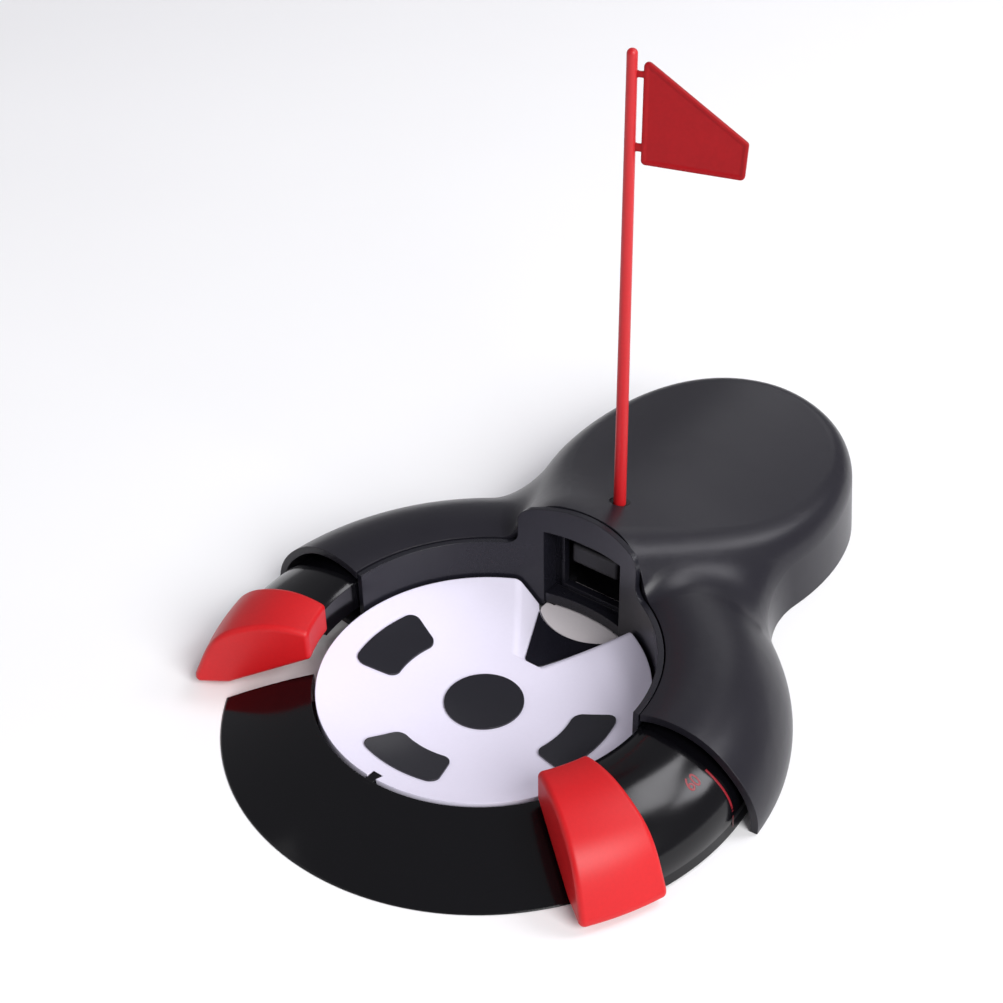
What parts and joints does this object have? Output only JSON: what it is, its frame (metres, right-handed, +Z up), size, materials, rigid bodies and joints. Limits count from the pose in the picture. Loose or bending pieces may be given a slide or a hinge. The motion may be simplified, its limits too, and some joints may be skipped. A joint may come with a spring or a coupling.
{
  "type": "putting cup",
  "caption": "Putting cup with a shallow round dish, entry ramp, two swinging gates, ball-return kicker in a rounded rear housing, and a lift-out flag.",
  "frame": {"origin": "centre of the cup, on the floor", "axes": "+Z up along the cup's axis; -Y towards the ramp, where the ball comes in; +Y towards the rear housing; +X to the right seen from the ramp"},
  "size_m": [0.1978, 0.2727, 0.1998],
  "materials": {
    "housing_plastic": "charcoal moulded plastic, fine satin texture",
    "black_gloss": "polished black plastic",
    "liner_black": "black plastic, semi-gloss",
    "dish_white": "white plastic, satin gloss",
    "trigger_grey": "pale grey plastic, satin gloss",
    "patch_black": "slate black plastic inlay",
    "tip_red": "red plastic, satin gloss",
    "flag_red": "thin moulded red plastic",
    "pole_red": "red plastic rod",
    "socket_rubber": "black rubber",
    "base_plastic": "black moulded plastic",
    "steel": "zinc-plated steel",
    "spring_steel": "bright spring wire",
    "copper_winding": "enamelled copper wire",
    "bobbin_nylon": "natural nylon",
    "pad_rubber": "firm black rubber",
    "board_green": "fibreglass circuit board",
    "component_black": "component bodies",
    "switch_plastic": "moulded switch body",
    "battery_wrap": "plain wrapped cell, no marking"
  },
  "bodies": {
    "chassis": {"base_plate": "base_plastic", "upper_housing": "housing_plastic", "cup_liner": "liner_black", "dish": "dish_white", "centre_spot": "patch_black", "right_patch": "patch_black", "left_patch": "patch_black", "front_patch": "patch_black", "rear_patch": "patch_black", "ramp": "black_gloss", "flag_socket": "socket_rubber", "kicker_panel": "liner_black", "return_spring": "spring_steel", "solenoid_frame": "steel", "solenoid_bobbin": "bobbin_nylon", "solenoid_coil": "copper_winding", "trigger_pin": "steel", "microswitch": "switch_plastic", "batteries": "battery_wrap", "battery_contacts": "spring_steel", "circuit_board": "board_green", "board_components": "component_black", "power_switch_body": "switch_plastic", "housing_screws": "steel", "liner_screws": "steel", "ramp_screws": "steel", "board_screws": "steel"},
    "right_gate": {"right_gate_arm": "black_gloss", "right_gate_tip": "tip_red"},
    "left_gate": {"left_gate_arm": "black_gloss", "left_gate_tip": "tip_red"},
    "flag_stick": {"flag_pole": "pole_red", "flag": "flag_red"},
    "kicker": {"kicker_pad": "pad_rubber", "plunger": "steel", "spring_clip": "steel"},
    "trigger": {"trigger_plate": "trigger_grey"},
    "switch_button": {"microswitch_button": "switch_plastic"},
    "battery_cover": {"battery_door": "base_plastic"},
    "power_slider": {"power_switch_slider": "tip_red"}
  },
  "joints": [
    {"name": "right_gate_swing", "type": "hinge", "parent": "chassis", "child": "right_gate", "pos_m": [0, 0, 0], "axis": [0, 0, -1], "range_deg": [-21.8, 26]},
    {"name": "left_gate_swing", "type": "hinge", "parent": "chassis", "child": "left_gate", "pos_m": [0, 0, 0], "axis": [0, 0, 1], "range_deg": [-16.8, 31]},
    {"name": "flag_lift", "type": "slide", "parent": "chassis", "child": "flag_stick", "axis": [0, 0, 1], "range_m": [0, 0.03]},
    {"name": "kicker_slide", "type": "slide", "parent": "chassis", "child": "kicker", "axis": [0, -1, 0], "range_m": [0, 0.011], "stiffness_N_per_m": 120, "springref_m": -0.002, "deforming": ["return_spring"]},
    {"name": "trigger_tilt", "type": "hinge", "parent": "chassis", "child": "trigger", "pos_m": [0, 0.066, 0.0036], "axis": [1, 0, 0], "range_deg": [0, 2.6], "stiffness_Nm_per_rad": 0.02, "springref_deg": -8.59},
    {"name": "button_press", "type": "slide", "parent": "chassis", "child": "switch_button", "axis": [0, 0, 1], "range_m": [0, 0.0007]},
    {"name": "battery_cover_slide", "type": "slide", "parent": "chassis", "child": "battery_cover", "axis": [0, 1, 0], "range_m": [0, 0.03]},
    {"name": "power_switch_slide", "type": "slide", "parent": "chassis", "child": "power_slider", "axis": [0, 1, 0], "range_m": [0, 0.004]}
  ],
  "couplings": [
    {"joint": "button_press", "follows": "trigger_tilt", "m_per_rad": 0.0125}
  ]
}
